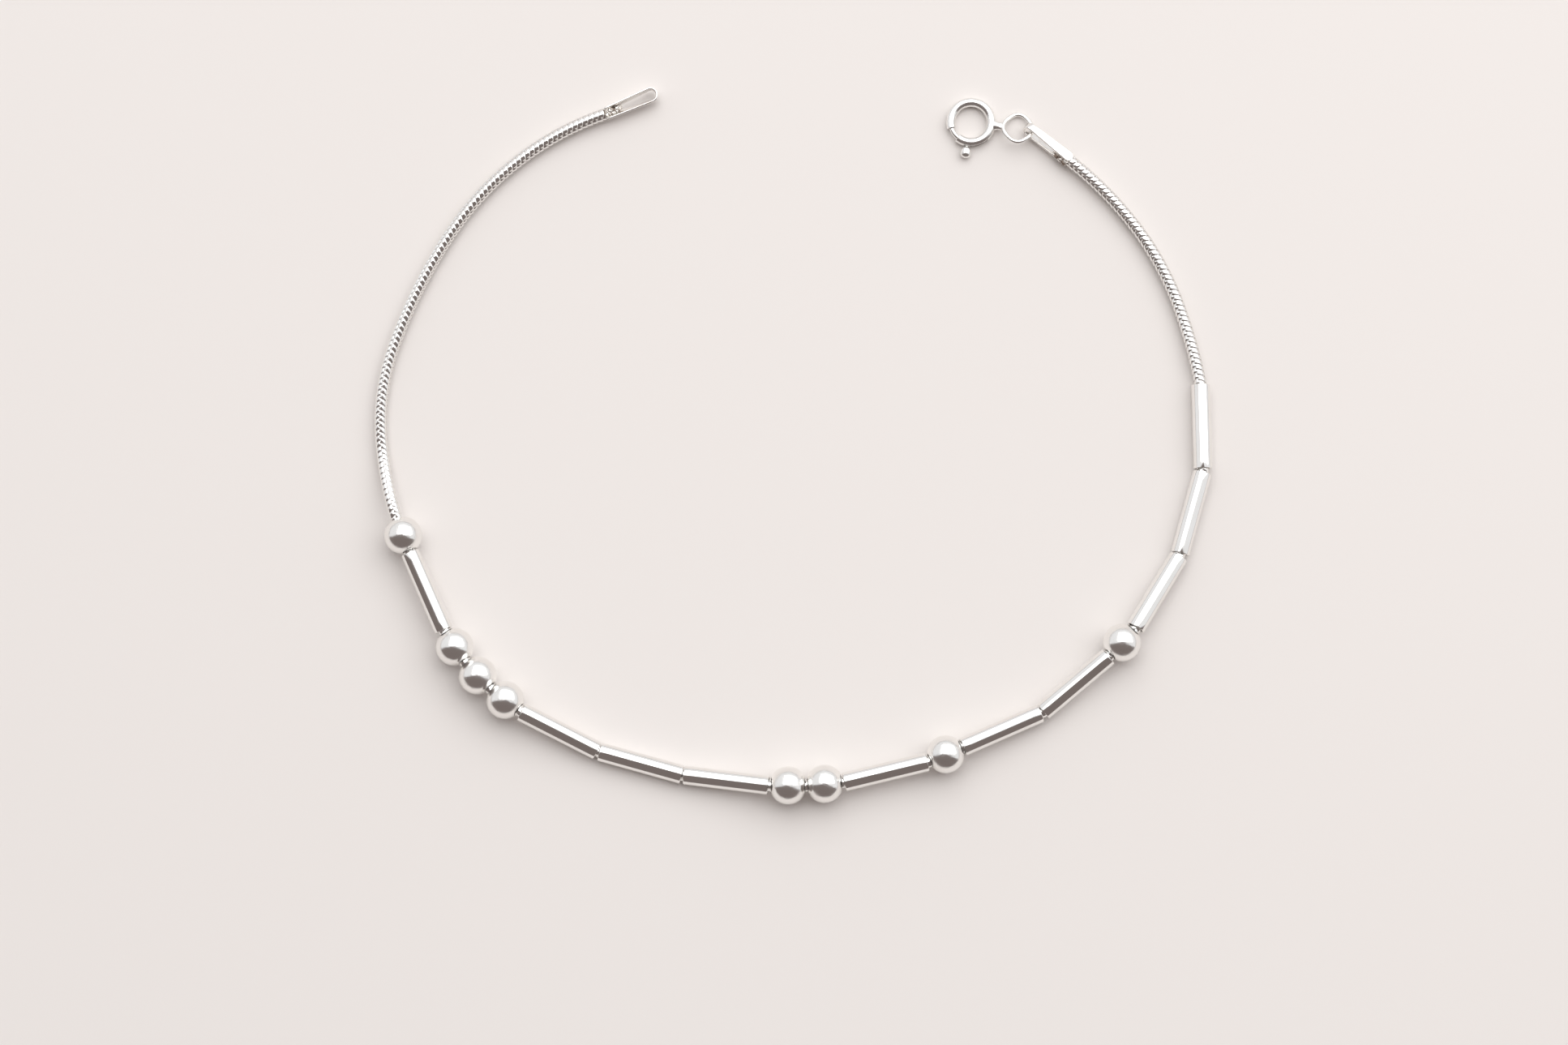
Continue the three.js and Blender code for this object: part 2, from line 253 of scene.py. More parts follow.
class Wire:
    """A shader socket that can stand in a sum. Its node method adds any other node beside it."""

    def __init__(self, tree, socket=None):
        self.tree = tree
        self.socket = socket

    def node(self, kind, settings, inputs, output=0):
        made = self.tree.nodes.new(kind)
        for name, value in settings.items():
            setattr(made, name, value)
        for name, value in inputs.items():
            if isinstance(value, Wire):
                self.tree.links.new(value.socket, made.inputs[name])
            else:
                made.inputs[name].default_value = value
        return Wire(self.tree, made.outputs[output] if made.outputs else None)

    def sum(self, operation, first, second):
        return self.node("ShaderNodeMath", {"operation": operation}, {0: first, 1: second})

    def __add__(self, other):
        return self.sum("ADD", self, other)

    def __sub__(self, other):
        return self.sum("SUBTRACT", self, other)

    def __rsub__(self, other):
        return self.sum("SUBTRACT", other, self)

    def __mul__(self, other):
        return self.sum("MULTIPLY", self, other)

    __radd__ = __add__
    __rmul__ = __mul__

    def between(self, low, high):
        """0 below low, 1 above high, and smooth between them."""
        return self.node(
            "ShaderNodeMapRange",
            {"interpolation_type": "SMOOTHSTEP"},
            {"Value": self, "From Min": low, "From Max": high},
        )

    def grain(self, scale, detail):
        """Soft random grain at this place, with about this many lumps to a millimetre."""
        return self.node("ShaderNodeTexNoise", {}, {"Vector": self, "Scale": scale, "Detail": detail})

    def stretched(self, x, y, z):
        return self.node(
            "ShaderNodeVectorMath", {"operation": "MULTIPLY"}, {0: self, 1: (x, y, z)}
        )

    def facing(self, towards):
        """How far this direction points the same way as another."""
        return self.node(
            "ShaderNodeVectorMath", {"operation": "DOT_PRODUCT"}, {0: self, 1: towards}, "Value"
        )

    def tint(self, first, second):
        """The first colour where this is 0, and the second where it is 1."""
        return self.node("ShaderNodeMix", {"data_type": "RGBA"}, {0: self, 6: first, 7: second}, 2)

    def relief(self, depth):
        """Small relief of this height, in millimetres."""
        return self.node("ShaderNodeBump", {}, {"Height": self, "Distance": depth * MM})


def new_finish(name):
    """An empty material, and the place on its piece in millimetres, moved on from piece to piece."""
    material = bpy.data.materials.new(name)
    material.use_nodes = True
    material.node_tree.nodes.clear()
    wire = Wire(material.node_tree)
    own = wire.node("ShaderNodeTexCoord", {}, {}, "Object")
    spot = wire.node("ShaderNodeObjectInfo", {}, {}, "Location")
    place = wire.node("ShaderNodeVectorMath", {"operation": "ADD"}, {0: own, 1: spot})
    return material, place.stretched(1 / MM, 1 / MM, 1 / MM)


def metal(wire, colour, roughness, normal):
    surface = wire.node(
        "ShaderNodeBsdfPrincipled",
        {},
        {"Base Color": colour, "Metallic": 1.0, "Roughness": roughness, "Normal": normal},
    )
    wire.node("ShaderNodeOutputMaterial", {}, {"Surface": surface})


SILVER = (0.93, 0.92, 0.90, 1.0)
# Grey painted into the chain's grooves between plates: painted shade, not a colour of the silver.
PAINTED_GROOVE_SHADE = (0.40, 0.36, 0.335, 1.0)
GROOVE_ROUGHNESS = 0.30
CROWN_POLISH = 0.18
CROWN_WEAR = 0.05


def chain_finish():
    material, place = new_finish("chain_silver")
    crown = place.node("ShaderNodeAttribute", {"attribute_name": "crown"}, {}, "Fac")
    # Low on the crown, in the grooves, the colour turns to the painted shade grey and the roughness
    # rises; high on the crown it stays bright polished silver.
    crown_polish_and_painted_groove_shade = crown.between(low=0.15, high=0.65)
    rubbed = place.grain(scale=2.2, detail=3.0).between(low=0.35, high=0.65)
    metal(
        place,
        colour=crown_polish_and_painted_groove_shade.tint(PAINTED_GROOVE_SHADE, SILVER),
        roughness=GROOVE_ROUGHNESS - CROWN_POLISH * crown_polish_and_painted_groove_shade + CROWN_WEAR * rubbed,
        normal=place.grain(scale=9.0, detail=2.0).relief(depth=0.002),
    )
    return material


def snake_chain(name, start, end, steps_per_link, sides, material):
    """Chain from one distance along its route to another: leaning plates with grooves between them."""
    along = np.arange(start, end, LINK_PITCH / steps_per_link)
    point = points_at(along, route)
    tangent = np.gradient(point, axis=0)
    tangent /= np.linalg.norm(tangent, axis=1, keepdims=True)
    side = np.cross(UP, tangent)
    side /= np.linalg.norm(side, axis=1, keepdims=True)
    top = np.cross(tangent, side)
    turn = (np.arange(sides) + 0.5) * 2 * np.pi / sides
    column = turn * COLUMNS / (2 * np.pi)
    across = 2 * (column % 1) - 1
    odd = column // 1 % 2
    lean = across * (1 - 2 * odd)
    link = along[:, None] / LINK_PITCH + PLATE_LEAN * lean + COLUMN_STAGGER * odd
    place = 2 * (link % 1) - 1
    column_dip = COLUMN_DIP * np.abs(across) ** COLUMN_FLATNESS
    crown = np.sqrt(1 - np.abs(place) ** PLATE_FLATNESS) * (1 - column_dip)
    radius = CHAIN_DIAMETER / 2 - GROOVE_DEPTH * (1 - crown) - PLATE_LAP * (place + 1) / 2
    angle = turn + np.radians(CHAIN_TURN + along * CHAIN_TWIST_PER_MM)[:, None]
    out = np.cos(angle)[..., None] * side[:, None] + np.sin(angle)[..., None] * top[:, None]
    points = point[:, None] + radius[..., None] * out
    piece = make_piece(name, points, skin(len(along), sides), material, SOFT_EDGE)
    crown_share = piece.data.attributes.new("crown", "FLOAT", "POINT")
    crown_share.data.foreach_set("value", crown.ravel().astype(np.float32))
    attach(piece, "bracelet")
    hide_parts("chain")


chain_silver = chain_finish()
first_bead_at = run_along(np.array(loop_points))[-1] + PIECE_LENGTH["bead"] / 2
last_tube_at = chain_length - run_along(np.array(clasp_points))[-1] - PIECE_LENGTH["tube"] / 2
CHAIN_RUNS = (
    # name, start, end, steps to a link, sides
    ("chain_loop_end", 0, first_bead_at, 14, 48),
    ("chain_in_beads", first_bead_at, last_tube_at, 6, 32),
    ("chain_clasp_end", last_tube_at, chain_length - ROUTE_STEP, 14, 48),
)
for chain_run in CHAIN_RUNS:
    snake_chain(*chain_run, chain_silver)

# Round beads: silver balls, drilled through on one axis and polished bright, each the dot of a code.
# They slide on the chain, and the hole's edge is rolled in a little so that it doesn't cut it.
BEAD_SIDES = 72
BEAD_ARC_STEPS = 40
LIP_REACH = 4.0
LIP_DEPTH = 0.16
LIP_STEPS = 6
WORN_SILVER = (0.90, 0.885, 0.86, 1.0)
BEAD_ROUGHNESS = 0.17
BEAD_HAZE = 0.07
SCRATCH_SPACING = 0.06
SCRATCH_WIDTH = 0.006
SCRATCH_ROUGHNESS = 0.03
SCRATCH_DEPTH = 0.06


def turned(profile, sides):
    """A closed profile of (along, radius) turned about X."""
    angle = np.arange(sides) * 2 * np.pi / sides
    along, radius = np.array(profile).T
    points = np.stack(
        (
            np.repeat(along[:, None], sides, axis=1),
            radius[:, None] * np.cos(angle),
            radius[:, None] * np.sin(angle),
        ),
        axis=-1,
    )
    return points, skin(len(profile), sides, closed=True)


def bead_profile():
    radius = BEAD_DIAMETER / 2
    bore = BORE_DIAMETER / 2
    reach = math.acos(bore / radius)
    start = reach - math.radians(LIP_REACH)
    ball = [
        (radius * math.sin(angle), radius * math.cos(angle))
        for angle in np.linspace(-start, start, BEAD_ARC_STEPS + 1)
    ]
    edge = (radius * math.sin(reach), bore)
    inside = (edge[0] - LIP_DEPTH, bore)
    lip = []
    for share in np.linspace(0, 1, LIP_STEPS + 1)[1:]:
        blend = [(1 - share) ** 2, 2 * share * (1 - share), share ** 2]
        lip.append(tuple(np.dot(blend, (ball[-1], edge, inside))))
    other_lip = [(-along, rim) for along, rim in reversed(lip)]
    return ball + lip + other_lip


def bead_finish():
    material, place = new_finish("bead_silver")
    haze = place.grain(scale=0.7, detail=3.0).between(low=0.4, high=0.75)
    ripple = place.grain(scale=5.0, detail=3.0)
    scratches = place.sum("PINGPONG", place.grain(scale=1.4, detail=5.0), SCRATCH_SPACING)
    hairline = 1 - scratches.between(low=0.0, high=SCRATCH_WIDTH)
    metal(
        place,
        colour=haze.tint(SILVER, WORN_SILVER),
        roughness=BEAD_ROUGHNESS + BEAD_HAZE * haze + SCRATCH_ROUGHNESS * hairline,
        normal=(ripple - SCRATCH_DEPTH * hairline).relief(depth=0.010),
    )
    return material


def seat_piece(piece, node):
    """Puts a piece that is made along X on the chain, where its node sits."""
    _, heading, slope = seats[node]
    piece.location = Vector(middle(node) * MM)
    piece.rotation_euler = (0, -slope, heading)
    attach(piece, "bracelet")
    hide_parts(node)


bead_silver = bead_finish()
for bead in sorted(name for name in seats if name.startswith("bead")):
    ball = make_piece(f"round_{bead}", *turned(bead_profile(), BEAD_SIDES), bead_silver)
    seat_piece(ball, bead)

# Tube beads: short lengths of thin drawn silver tube, each the dash of a code. Their cut ends are
# tumbled round, and fine drawing lines run along them under the polish.
TUBE_SIDES = 64
RIM_ROUNDING = 0.07
RIM_STEPS = 5
TUBE_RUN_STEPS = 12
TUBE_ROUGHNESS = 0.05
DRAWN_ROUGHNESS = 0.05
TUBE_HAZE = 0.04
TUBE_WAVE = 0.5


def tube_profile():
    radius = TUBE_DIAMETER / 2
    bore = BORE_DIAMETER / 2
    end = TUBE_LENGTH / 2
    half = []
    for share in np.linspace(0, 1, RIM_STEPS + 1):
        angle = share * math.pi / 2
        along = end - RIM_ROUNDING * (1 - math.sin(angle))
        half.append((along, bore + RIM_ROUNDING * (1 - math.cos(angle))))
    for share in np.linspace(0, 1, RIM_STEPS + 1):
        angle = share * math.pi / 2
        along = end - RIM_ROUNDING * (1 - math.cos(angle))
        half.append((along, radius - RIM_ROUNDING * (1 - math.sin(angle))))
    straight = end - RIM_ROUNDING
    outside = [(along, radius) for along in np.linspace(straight, -straight, TUBE_RUN_STEPS)[1:-1]]
    other = [(-along, rim) for along, rim in reversed(half)]
    return half + outside + other


def tube_finish():
    material, place = new_finish("tube_silver")
    drawn = place.stretched(x=0.12, y=9.0, z=9.0).grain(scale=1.0, detail=3.0)
    haze = place.grain(scale=0.5, detail=3.0).between(low=0.4, high=0.75)
    wave = place.grain(scale=1.2, detail=1.0)
    metal(
        place,
        colour=haze.tint(SILVER, WORN_SILVER),
        roughness=TUBE_ROUGHNESS + DRAWN_ROUGHNESS * drawn + TUBE_HAZE * haze,
        normal=(drawn + TUBE_WAVE * wave).relief(depth=0.0012),
    )
    return material


tube_silver = tube_finish()
for tube in sorted(name for name in seats if name.startswith("tube")):
    length = make_piece(f"long_{tube}", *turned(tube_profile(), TUBE_SIDES), tube_silver)
    seat_piece(length, tube)

# End tags: a narrow flat strip of silver, folded into a hairpin and soldered over the chain's end. The
# bend is left as a loop: the clasp hooks into one, and the clasp's eye hangs in the other.
TAG_LENGTH = 4.6
TAG_THICKNESS = 0.17
TAG_MOUTH_WIDTH = 0.75
TAG_END_ROUNDING = 0.32
TAG_END_WIDTH = 0.35
STRIP_CORNER = 0.42
TWIST_EASE = 0.6
LOOP_TAG_TURN = 184
STRIP_CORNER_STEPS = 5
BEND_STEPS = 28
LEG_STEPS = 16
TAG_BRIGHT = (0.92, 0.90, 0.875, 1.0)
TAG_TARNISH = (0.74, 0.69, 0.64, 1.0)
TAG_ROUGHNESS = 0.20
ROLLED_ROUGHNESS = 0.08
TARNISH_ROUGHNESS = 0.10


def hairpin(loop_width):
    """Middle line of the folded strip in XY: out along one leg, round the bend and back."""
    bend = (loop_width - TAG_THICKNESS) / 2
    mouth = (TAG_MOUTH_WIDTH - TAG_THICKNESS) / 2
    centre = TAG_LENGTH - loop_width / 2
    turn = math.pi / 2 + math.asin((bend - mouth) / centre)
    arc = [
        (centre + bend * math.cos(angle), bend * math.sin(angle))
        for angle in np.linspace(-turn, turn, BEND_STEPS + 1)
    ]
    ease = 1 - np.cos(np.linspace(0, math.pi / 2, LEG_STEPS + 1)[:-1])
    leg = [tuple((1 - share) * np.array((0, -mouth)) + share * np.array(arc[0])) for share in ease]
    back = [(x, -y) for x, y in reversed(leg)]
    return np.array(leg + arc + back)


def strip_section(width, thickness):
    """Outline of the strip's cross-section, with round edges: across its thickness and its width."""
    corner = STRIP_CORNER * thickness
    outline = []
    for quarter in range(4):
        for share in np.linspace(0, 1, STRIP_CORNER_STEPS + 1):
            angle = (quarter + share) * math.pi / 2
            middle_x = math.copysign(thickness / 2 - corner, math.cos((quarter + 0.5) * math.pi / 2))
            middle_y = math.copysign(width / 2 - corner, math.sin((quarter + 0.5) * math.pi / 2))
            outline.append((middle_x + corner * math.cos(angle), middle_y + corner * math.sin(angle)))
    return np.array(outline)


def folded_strip(loop_width, bend_width, mouth_width, twist, other_twist):
    """Rings of points over the strip, whose width changes from its bend to the chain. Its legs are
    twisted more and more towards the chain, by these angles at their ends."""
    line = np.column_stack((hairpin(loop_width), np.zeros(2 * LEG_STEPS + BEND_STEPS + 1)))
    tangent = np.gradient(line, axis=0)
    tangent /= np.linalg.norm(tangent, axis=1, keepdims=True)
    run = run_along(line)
    rings = []
    for point, along, distance in zip(line, tangent, run):
        from_end = min(distance, run[-1] - distance)
        rounding = math.sqrt(1 - max(0.0, 1 - from_end / TAG_END_ROUNDING) ** 2)
        mouth_share = 1 - 2 * from_end / run[-1]
        width = bend_width + (mouth_width - bend_width) * mouth_share
        across, wide = strip_section(width * max(TAG_END_WIDTH, rounding), TAG_THICKNESS).T
        leg_twist = twist if 2 * distance < run[-1] else other_twist
        leg_turn = math.radians(leg_twist * mouth_share ** TWIST_EASE)
        turn = np.array(Matrix.Rotation(leg_turn, 3, "X"))
        outward = turn @ np.cross(along, UP)
        rings.append(point + np.outer(across, outward) + np.outer(wide, turn @ UP))
    return np.array(rings)


def placed(points, origin, heading, roll=0.0):
    """Points made along X, rolled about it, turned to a heading and carried to their place."""
    turn = Matrix.Rotation(heading, 3, "Z") @ Matrix.Rotation(math.radians(roll), 3, "X")
    return np.reshape(points, (-1, 3)) @ np.array(turn).T + origin


def tag_finish():
    material, place = new_finish("tag_silver")
    rolled = place.grain(scale=3.0, detail=4.0)
    tarnish = place.grain(scale=1.3, detail=3.0).between(low=0.5, high=0.8)
    metal(
        place,
        colour=tarnish.tint(TAG_BRIGHT, TAG_TARNISH),
        roughness=TAG_ROUGHNESS + ROLLED_ROUGHNESS * rolled + TARNISH_ROUGHNESS * tarnish,
        normal=rolled.relief(depth=0.004),
    )
    return material


tag_silver = tag_finish()
loop_tag_heading = loop_heading + math.radians(LOOP_TAG_TURN)
TAGS = (
    # name, chain end, heading, roll, loop width, strip width at the bend and chain, twist of each leg
    ("loop_tag", loop_end, loop_tag_heading, 5, 1.15, 0.72, 0.75, 35, -20),
    ("clasp_tag", clasp_end, clasp_heading, -60, 1.0, 0.62, 0.88, -16, 6),
)
for tag_name, tag_from, tag_heading, tag_roll, *tag_shape in TAGS:
    strip_rings = folded_strip(*tag_shape)
    tag_points = placed(strip_rings, tag_from, tag_heading, tag_roll)
    tag = make_piece(tag_name, tag_points, skin(*strip_rings.shape[:2]), tag_silver)
    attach(tag, "bracelet")
    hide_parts("chain")

# Solder: silver solder that has run between a tag's legs and over the last links, and set in lumps and
# grains. It is duller and browner than the polished strip.
SOLDER_FROM = -0.25
SOLDER_TO = 1.6
SOLDER_RADIUS = {"loop_tag": 0.30, "clasp_tag": 0.36}
SOLDER_SHIFT = {"loop_tag": (0.0, 0.0), "clasp_tag": (0.22, 0.22)}
SOLDER_TAPER = 0.35
SOLDER_RINGS = 64
SOLDER_SIDES = 48
SOLDER_LUMP = 0.15
SOLDER_LUMP_SIZE = 0.16
FINE_LUMP = 0.5
FINER_BY = 2.3
SOLDER_SPAN = (0.02, 0.98)
SOLDER_BLUNTNESS = 2.6
NEXT_LUMPS = 7.0
SOLDER_GREY = (0.84, 0.81, 0.77, 1.0)
SOLDER_BROWN = (0.27, 0.21, 0.17, 1.0)
SOLDER_ROUGHNESS = 0.20
CRUST_ROUGHNESS = 0.22


def solder_blob(radius, offset):
    """A lumpy plug along X, whose lumps differ with the offset."""
    rings = []
    for share in np.linspace(*SOLDER_SPAN, SOLDER_RINGS):
        along = SOLDER_FROM + (SOLDER_TO - SOLDER_FROM) * share
        full = (1 - abs(2 * share - 1) ** SOLDER_BLUNTNESS) ** 0.5 * (1 - SOLDER_TAPER * share)
        ring = []
        for side in range(SOLDER_SIDES):
            angle = 2 * math.pi * side / SOLDER_SIDES
            out = Vector((0, math.cos(angle), math.sin(angle)))
            spot = (Vector((along + offset, 0, 0)) + out * radius) / SOLDER_LUMP_SIZE
            lump = noise.noise(spot) + FINE_LUMP * noise.noise(spot * FINER_BY)
            ring.append(Vector((along, 0, 0)) + out * full * (radius + SOLDER_LUMP * lump))
        rings.append(ring)
    return np.array(rings)


def solder_finish():
    material, place = new_finish("solder")
    crust = place.grain(scale=2.4, detail=4.0).between(low=0.42, high=0.62)
    metal(
        place,
        colour=crust.tint(SOLDER_GREY, SOLDER_BROWN),
        roughness=SOLDER_ROUGHNESS + CRUST_ROUGHNESS * crust,
        normal=place.grain(scale=6.0, detail=3.0).relief(depth=0.012),
    )
    return material


solder = solder_finish()
for number, (tag_name, tag_from, tag_heading, tag_roll, *_) in enumerate(TAGS):
    blob = solder_blob(SOLDER_RADIUS[tag_name], NEXT_LUMPS * number)
    blob[..., 1:] += SOLDER_SHIFT[tag_name]
    blob_points = placed(blob, tag_from, tag_heading, tag_roll)
    lump = make_piece(f"{tag_name}_solder", blob_points, skin(*blob.shape[:2]), solder, SOFT_EDGE)
    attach(lump, "bracelet")
    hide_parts("chain")

# Spring ring: a silver tube bent to an open ring, with a slot along its outside for the thumb knob. A
# short neck and a closed wire eye are soldered to it, and the eye hangs in the folded tag.
RING_DIAMETER = 4.0
RING_TUBE = 0.74
RING_BORE = 0.54
MOUTH_FROM = 25
MOUTH_TO = 58
KNOB_ANGLE = 88
OPENING_ANGLE = 48
SLOT_HALF_HEIGHT = 0.21
SLOT_OVERCUT = 0.1
EYE_DIAMETER = 2.70
EYE_WIRE = 0.33
EYE_TILT = 20
EYE_IN_TAG = 0.46
EYE_HOOK = 0.24
EYE_STRETCH = 1.07
EYE_CORNERS = 0.07
EYE_STEPS = 80
EYE_SIDES = 20
NECK_GAP = 0.43
NECK_WAIST = 0.64
NECK_FLARE = 0.36
NECK_FLARE_AT_EYE = 0.6
NECK_STEPS = 20
NECK_SIDES = 32
CLASP_TURN = 30
RING_SIDES = 36
RING_STEP = 3.0
END_ROUNDING = 0.3
SPOT_BROWN = (0.55, 0.50, 0.45, 1.0)
SPOT_DARKNESS = 0.6
CLASP_ROUGHNESS = 0.20
CLASP_HAZE = 0.06
SPOT_ROUGHNESS = 0.10
RING_RADIUS = (RING_DIAMETER - RING_TUBE) / 2
EYE_RADIUS = (EYE_DIAMETER - EYE_WIRE) / 2
EYE_FAR = 2 * EYE_RADIUS - EYE_HOOK
RING_CENTRE = EYE_FAR + EYE_WIRE / 2 + NECK_GAP + RING_DIAMETER / 2
RING_HEIGHT = RING_TUBE / 2
EYE_LIFT = TAG_AXIS - RING_HEIGHT
clasp_axis = clasp_heading + math.radians(CLASP_TURN)
clasp_from = clasp_end + direction(clasp_heading) * (TAG_LENGTH - EYE_IN_TAG)
clasp_from[2] = RING_HEIGHT


def ring_section(angle, bar_radius, sides):
    """A circle of points round the ring's tube at an angle, in degrees, in the clasp's own frame."""
    out = direction(math.radians(angle))
    turn = np.arange(sides) * 2 * np.pi / sides
    reach = RING_RADIUS + bar_radius * np.cos(turn)
    rise = np.outer(bar_radius * np.sin(turn), UP)
    return np.array((RING_CENTRE, 0, 0)) + reach[:, None] * out + rise


def angles_between(start, end):
    return np.linspace(start, end, 1 + math.ceil(abs(end - start) / RING_STEP))


def ring_tube():
    """The hollow tube from one side of the mouth round to the other, with rounded ends."""
    start = MOUTH_TO
    end = MOUTH_FROM + 360
    outer = RING_TUBE / 2
    inner = RING_BORE / 2
    corner = END_ROUNDING * (outer - inner)
    rounding = math.degrees(corner / RING_RADIUS)
    stations = [(angle, outer) for angle in angles_between(start + rounding, end - rounding)]
    stations += [(end, outer - corner), (end, inner + corner)]
    stations += [(angle, inner) for angle in angles_between(end - rounding, start + rounding)]
    stations += [(start, inner + corner), (start, outer - corner)]
    rings = [ring_section(angle, radius, RING_SIDES) for angle, radius in stations]
    return np.array(rings), skin(len(rings), RING_SIDES, closed=True)


def slot_block():
    """The room that is cut for the knob's pin, in the ring's outer wall."""
    end_room = math.degrees(SLOT_HALF_HEIGHT / (RING_DIAMETER / 2))
    reaches = (RING_RADIUS, RING_DIAMETER / 2 + SLOT_OVERCUT)
    rings = []
    for angle in angles_between(KNOB_ANGLE - end_room, KNOB_ANGLE + OPENING_ANGLE + end_room):
        out = direction(math.radians(angle))
        corners = ((0, -1), (1, -1), (1, 1), (0, 1))
        rings.append(
            [
                np.array((RING_CENTRE, 0, 0)) + reaches[far] * out + UP * SLOT_HALF_HEIGHT * level
                for far, level in corners
            ]
        )
    return np.array(rings), skin(len(rings), 4)


def cut_away(piece, block):
    """Cuts a block out of a piece for good, and takes the block away."""
    cut = piece.modifiers.new("slot", "BOOLEAN")
    cut.operation = "DIFFERENCE"
    cut.object = block
    whole = piece.evaluated_get(bpy.context.evaluated_depsgraph_get())
    mesh = bpy.data.meshes.new_from_object(whole)
    piece.modifiers.clear()
    piece.data = mesh
    bpy.data.objects.remove(block)


def clasp_finish():
    material, place = new_finish("clasp_silver")
    haze = place.grain(scale=1.0, detail=3.0).between(low=0.4, high=0.7)
    spots = place.grain(scale=5.0, detail=2.0).between(low=0.62, high=0.72)
    metal(
        place,
        colour=(SPOT_DARKNESS * spots).tint(SILVER, SPOT_BROWN),
        roughness=CLASP_ROUGHNESS + CLASP_HAZE * haze + SPOT_ROUGHNESS * spots,
        normal=place.grain(scale=2.4, detail=2.0).relief(depth=0.003),
    )
    return material


def eye_rings():
    """The closed wire eye, pulled a little to four corners and tilted about the clasp's length."""
    rings = []
    tilt = np.array(Matrix.Rotation(math.radians(EYE_TILT), 3, "X")).T
    turn = np.arange(EYE_SIDES) * 2 * np.pi / EYE_SIDES
    for angle in np.linspace(0, 2 * math.pi, EYE_STEPS, endpoint=False):
        radius = EYE_RADIUS * (1 + EYE_CORNERS * (math.cos(4 * angle) - 1) / 2)
        out = direction(angle)
        reach = radius + EYE_WIRE / 2 * np.cos(turn)
        ring = reach[:, None] * out + np.outer(EYE_WIRE / 2 * np.sin(turn), UP)
        ring[:, 1] *= EYE_STRETCH
        rings.append(ring @ tilt + np.array((EYE_FAR - EYE_RADIUS, 0, EYE_LIFT)))
    return np.array(rings)


def neck_rings():
    """The soldered neck, which spreads where it runs onto the eye's wire and onto the ring."""
    start = np.array((EYE_FAR - EYE_WIRE / 4, 0, EYE_LIFT))
    end = np.array((RING_CENTRE - RING_RADIUS - RING_TUBE / 4, 0, 0))
    rings = []
    turn = np.arange(NECK_SIDES) * 2 * np.pi / NECK_SIDES
    for share in np.linspace(0, 1, NECK_STEPS):
        flare = NECK_FLARE * (NECK_FLARE_AT_EYE + (1 - NECK_FLARE_AT_EYE) * share)
        wide = NECK_WAIST / 2 + flare / 2 * (2 * share - 1) ** 2
        high = EYE_WIRE / 2 + (RING_TUBE - EYE_WIRE) / 2 * share ** 2
        section = np.column_stack((0 * turn, wide * np.cos(turn), high * np.sin(turn)))
        place = start + (end - start) * share
        rings.append(placed(section, place, 0.0, EYE_TILT * (1 - share)))
    return np.array(rings)


def place_on_clasp(name, points, faces, body, node, crease=SHARP_EDGE):
    piece = make_piece(name, placed(points, clasp_from, clasp_axis), faces, clasp_silver, crease)
    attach(piece, body)
    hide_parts(node)
    return piece


clasp_silver = clasp_finish()
ring = place_on_clasp("spring_ring", *ring_tube(), "bracelet", "clasp_ring")
slot_points, slot_faces = slot_block()
slot_points = placed(slot_points, clasp_from, clasp_axis)
cut_away(ring, make_piece("slot", slot_points, slot_faces, clasp_silver))
eye_points = eye_rings()
eye_faces = skin(*eye_points.shape[:2], closed=True)
place_on_clasp("clasp_eye", eye_points, eye_faces, "bracelet", "clasp_ring")
neck_points = neck_rings()
neck_faces = skin(*neck_points.shape[:2])
place_on_clasp("clasp_neck", neck_points, neck_faces, "bracelet", "clasp_ring", SOFT_EDGE)

# Sliding bolt: a bent silver wire inside the ring that closes its mouth, pushed by a hidden spring. A
# pin through the slot carries the thumb knob, and all three move as one round the ring's middle.
BOLT_DIAMETER = 0.38
BOLT_FROM = 20
BOLT_TO = 128
BOLT_TIP = 5
BOLT_TIP_WIDTH = 0.3
PIN_DIAMETER = 0.28
PIN_REACH = 0.2
BOLT_SIDES = 24
KNOB_RADIAL = 0.92
KNOB_ACROSS = 0.86
KNOB_HEIGHT = 0.72
KNOB_GAP = 0.02
KNOB_CENTRE = RING_DIAMETER / 2 + KNOB_GAP + KNOB_RADIAL / 2
KNOB_FULLNESS = 0.85
KNOB_ARC = (0.05 * math.pi, 0.98 * math.pi)
KNOB_ROOT = math.pi / 3
KNOB_SIDES = 40
KNOB_STEPS = 24


def bolt_rings():
    rings = []
    for angle in angles_between(BOLT_FROM, BOLT_TO):
        from_tip = min(angle - BOLT_FROM, BOLT_TO - angle) / BOLT_TIP
        blunt = math.sqrt(1 - max(0.0, 1 - from_tip) ** 2)
        rings.append(ring_section(angle, BOLT_DIAMETER / 2 * max(BOLT_TIP_WIDTH, blunt), BOLT_SIDES))
    return np.array(rings)


def knob_rings():
    """Pin and knob along X from the ring's middle line. The knob is fuller than a ball."""
    pin = PIN_DIAMETER / 2
    stations = [(RING_RADIUS, pin), (RING_RADIUS + PIN_REACH, pin)]
    for angle in np.linspace(*KNOB_ARC, KNOB_STEPS):
        along = math.copysign(abs(math.cos(angle)) ** KNOB_FULLNESS, -math.cos(angle))
        radius = KNOB_ACROSS / 2 * math.sin(angle) ** KNOB_FULLNESS
        width = max(pin, radius) if angle < KNOB_ROOT else radius
        stations.append((KNOB_CENTRE + along * KNOB_RADIAL / 2, width))
    turn = np.arange(KNOB_SIDES) * 2 * np.pi / KNOB_SIDES
    rings = []
    for along, radius in stations:
        low = radius * KNOB_HEIGHT / KNOB_ACROSS
        rings.append(np.column_stack((0 * turn + along, radius * np.cos(turn), low * np.sin(turn))))
    return np.array(rings)


